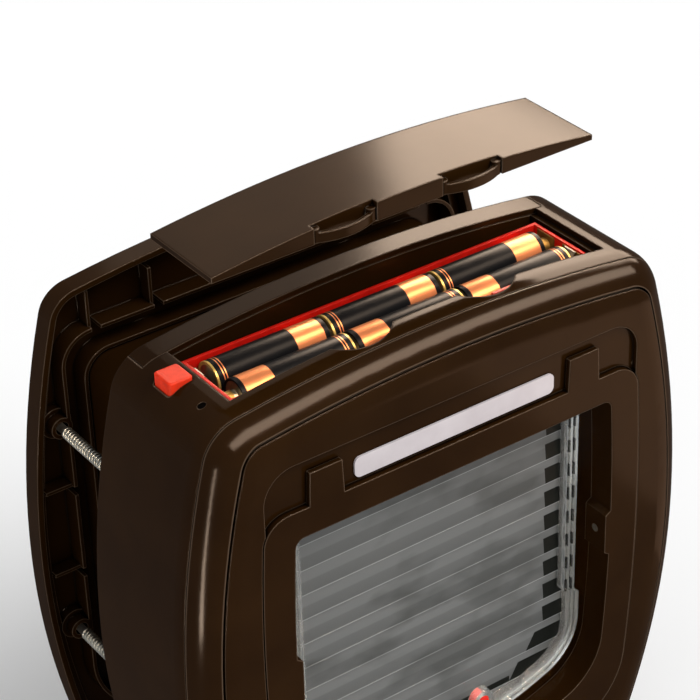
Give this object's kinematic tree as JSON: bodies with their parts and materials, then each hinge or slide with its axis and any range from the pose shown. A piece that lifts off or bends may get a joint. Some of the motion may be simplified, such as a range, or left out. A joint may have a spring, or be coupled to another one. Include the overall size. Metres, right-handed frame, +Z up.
{
  "type": "cat flap",
  "caption": "Electronic cat flap in glossy brown plastic: deep indoor unit with battery well and lifted lid, clear ribbed flap and outdoor frame on long screws.",
  "frame": {"origin": "on the door face of the indoor unit, at the middle of its width, 124 mm under the crown of its top", "axes": "+X to the right seen from indoors, +Y outdoors through the door, +Z up"},
  "size_m": [0.234, 0.1358, 0.2953],
  "materials": {
    "brown_plastic": "glossy dark brown moulding",
    "silver_plate": "satin silver grey, bare",
    "pale_lens": "pale clear lens",
    "red_plastic": "bright red moulding",
    "brass": "bright brass strip",
    "spring_steel": "bright spring strip",
    "board": "green laminate",
    "black_plastic": "black moulding",
    "copper_winding": "enamelled copper winding",
    "clear_plastic": "clear grey moulding",
    "magnet": "dark ferrite and steel",
    "cell_wrap": "shrink wrap in black and copper tones",
    "zinc_steel": "zinc plated"
  },
  "bodies": {
    "housing": {"front_cover": "brown_plastic", "inner_bezel": "brown_plastic", "rear_body": "brown_plastic", "door_plate": "brown_plastic", "outdoor_frame": "brown_plastic", "name_plate": "silver_plate", "sensor_lenses": "pale_lens", "battery_tray": "red_plastic", "contact_plates": "brass", "contact_springs": "spring_steel", "circuit_board": "board", "tact_switch": "black_plastic", "lamp_pipe": "pale_lens", "aerial_coil": "copper_winding", "flap_axle": "spring_steel", "sill_magnets": "magnet", "latch_coil": "magnet", "fixing_screws": "zinc_steel", "case_screws": "zinc_steel", "cell_1": "cell_wrap", "cell_2": "cell_wrap", "cell_3": "cell_wrap", "cell_4": "cell_wrap", "cell_5": "cell_wrap", "cell_6": "cell_wrap"},
    "flap_leaf": {"flap": "clear_plastic", "flap_magnets": "red_plastic"},
    "lid": {"battery_lid": "brown_plastic"},
    "button": {"learn_button": "red_plastic"},
    "latch": {"latch_bar": "black_plastic"}
  },
  "joints": [
    {"name": "flap_swing", "type": "hinge", "parent": "housing", "child": "flap_leaf", "pos_m": [0, -0.054, 0.058], "axis": [1, 0, 0], "range_deg": [-85, 85]},
    {"name": "lid_lift", "type": "slide", "parent": "housing", "child": "lid", "axis": [0, 0.1527, 0.9883], "range_m": [-0.0458, 0]},
    {"name": "button_press", "type": "slide", "parent": "housing", "child": "button", "axis": [0, 0, -1], "range_m": [0, 0.0008], "stiffness_N_per_m": 400, "springref_m": -0.001},
    {"name": "latch_raise", "type": "slide", "parent": "housing", "child": "latch", "axis": [0, 0, 1], "range_m": [0, 0.007]}
  ]
}
